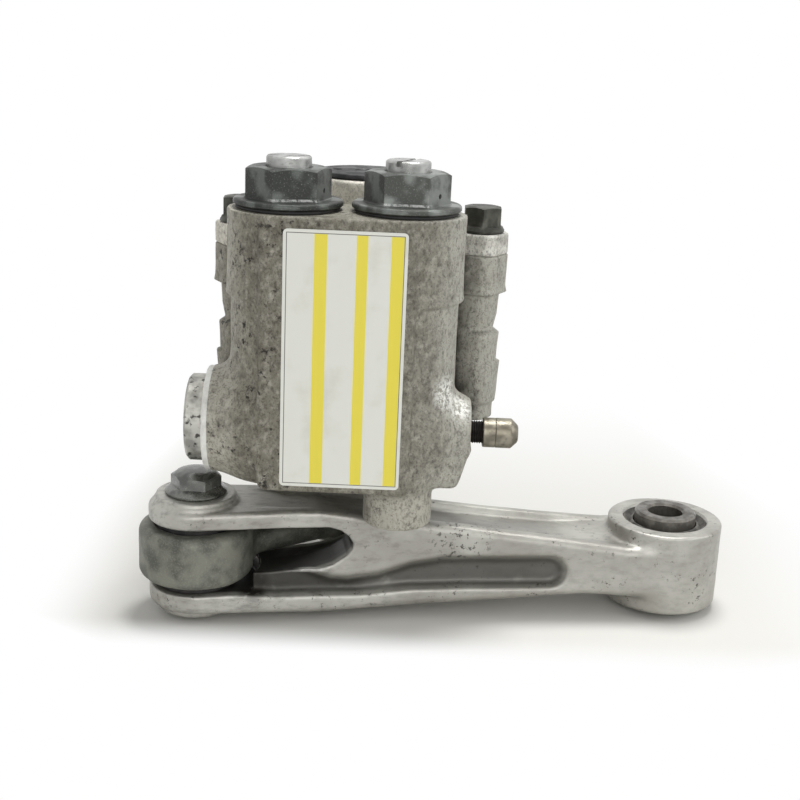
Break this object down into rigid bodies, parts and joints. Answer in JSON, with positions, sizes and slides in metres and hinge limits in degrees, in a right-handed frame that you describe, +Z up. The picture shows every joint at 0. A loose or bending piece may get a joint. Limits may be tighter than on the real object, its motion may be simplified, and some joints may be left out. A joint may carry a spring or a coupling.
{
  "type": "rotary vane damper",
  "caption": "Gas-charged rotary vane damper: cast housing with hex damping adjusters and a gas port, whose shaft swings a lever that drives a long forged link rod ending in a bearing eye.",
  "frame": {"origin": "centre of the rotor shaft's lower end face, on the plane that the damper rests on", "axes": "+Z up along the rotor axis, +X towards the link's eye as seen in the picture, +Y away from the front block and its label"},
  "size_m": [0.205, 0.1123, 0.1598],
  "materials": {
    "cast_aluminium": "sand cast and tumbled, dull grey with dark dirt in the pores",
    "forged_aluminium": "forged and shot blasted, light grey with scratches",
    "lever_steel": "forged steel with a dark grey phosphate coat",
    "dark_steel": "blackened steel, worn at the edges",
    "dark_anodised": "dark grey-green anodised, worn lighter on the flats",
    "plated_steel": "dull zinc plating with stains",
    "bright_steel": "turned bright steel",
    "valve_nickel": "nickel-plated brass, dull",
    "bearing_bronze": "turned bearing bronze",
    "black_rubber": "matt black rubber",
    "label_film": "white film with plain yellow bands, no lettering"
  },
  "bodies": {
    "housing": {"main_casting": "cast_aluminium", "end_cover": "cast_aluminium", "bearing_cap": "dark_steel", "cover_bolt_front_left": "dark_steel", "cover_bolt_front_right": "dark_steel", "cover_bolt_rear_left": "dark_steel", "cover_bolt_rear_right": "dark_steel", "cover_o_ring": "black_rubber", "upper_bush": "bearing_bronze", "lower_bush": "bearing_bronze", "shaft_oil_seal": "black_rubber", "shaft_dust_seal": "black_rubber", "partition_front": "forged_aluminium", "partition_rear": "forged_aluminium", "partition_dowel_front": "bright_steel", "partition_dowel_rear": "bright_steel", "blank_label": "label_film", "compression_adjuster_body": "dark_anodised", "compression_seal_washer": "black_rubber", "compression_valve_seat": "bright_steel", "compression_shim_stack": "bright_steel", "rebound_adjuster_body": "dark_anodised", "rebound_seal_washer": "black_rubber", "rebound_valve_seat": "bright_steel", "rebound_shim_stack": "bright_steel", "gas_plug": "plated_steel", "gas_plug_o_ring": "black_rubber", "gas_valve_stem": "dark_steel"},
    "rotor": {"rotor_shaft": "bright_steel", "vane_seal_a": "bearing_bronze", "vane_seal_b": "bearing_bronze", "lever_arm": "lever_steel", "lever_washer": "plated_steel", "lever_nut": "plated_steel", "lever_bearing": "bright_steel", "lever_seal_lower": "black_rubber", "lever_seal_upper": "black_rubber"},
    "link": {"link_rod": "forged_aluminium", "fork_bolt": "plated_steel", "fork_collar": "bright_steel", "eye_bearing": "bright_steel", "eye_seal_lower": "black_rubber", "eye_seal_upper": "black_rubber"},
    "eye_collar": {"eye_collar": "dark_steel"},
    "compression_screw": {"compression_adjuster_screw": "bright_steel"},
    "compression_needle": {"compression_needle": "bearing_bronze"},
    "rebound_screw": {"rebound_adjuster_screw": "bright_steel"},
    "rebound_needle": {"rebound_needle": "bearing_bronze"},
    "free_piston": {"free_piston": "forged_aluminium", "free_piston_o_ring": "black_rubber"},
    "valve_cap": {"gas_valve_cap": "valve_nickel"},
    "valve_core": {"gas_valve_core": "valve_nickel"}
  },
  "joints": [
    {"name": "lever_swing", "type": "hinge", "parent": "housing", "child": "rotor", "pos_m": [0, 0, 0.05], "axis": [0, 0, 1], "range_deg": [-50, 6]},
    {"name": "link_pivot", "type": "hinge", "parent": "rotor", "child": "link", "pos_m": [-0.05282, -0.04251, 0.0245], "axis": [0, 0, 1], "range_deg": [-120, 2]},
    {"name": "eye_collar_turn", "type": "hinge", "parent": "link", "child": "eye_collar", "pos_m": [0.11274, -0.01708, 0.0175], "axis": [0, 0, 1], "continuous": true},
    {"name": "compression_adjust", "type": "hinge", "parent": "housing", "child": "compression_screw", "pos_m": [-0.0228, -0.045, 0.15], "axis": [0, 0, 1], "range_deg": [-450, 450]},
    {"name": "compression_needle_slide", "type": "slide", "parent": "housing", "child": "compression_needle", "axis": [0, 0, 1], "range_m": [-0.001, 0.001]},
    {"name": "rebound_adjust", "type": "hinge", "parent": "housing", "child": "rebound_screw", "pos_m": [0.0148, -0.045, 0.15], "axis": [0, 0, 1], "range_deg": [-450, 450]},
    {"name": "rebound_needle_slide", "type": "slide", "parent": "housing", "child": "rebound_needle", "axis": [0, 0, 1], "range_m": [-0.001, 0.001]},
    {"name": "free_piston_slide", "type": "slide", "parent": "housing", "child": "free_piston", "axis": [1, 0, 0], "range_m": [-0.008, 0.008]},
    {"name": "valve_cap_unscrew", "type": "slide", "parent": "housing", "child": "valve_cap", "axis": [1, 0, 0], "range_m": [0, 0.014]},
    {"name": "valve_core_press", "type": "slide", "parent": "housing", "child": "valve_core", "axis": [1, 0, 0], "range_m": [-0.001, 0], "stiffness_N_per_m": 400, "springref_m": 0.0005}
  ],
  "couplings": [
    {"joint": "compression_adjust", "follows": "compression_needle_slide", "rad_per_m": 7854},
    {"joint": "rebound_adjust", "follows": "rebound_needle_slide", "rad_per_m": 7854}
  ]
}
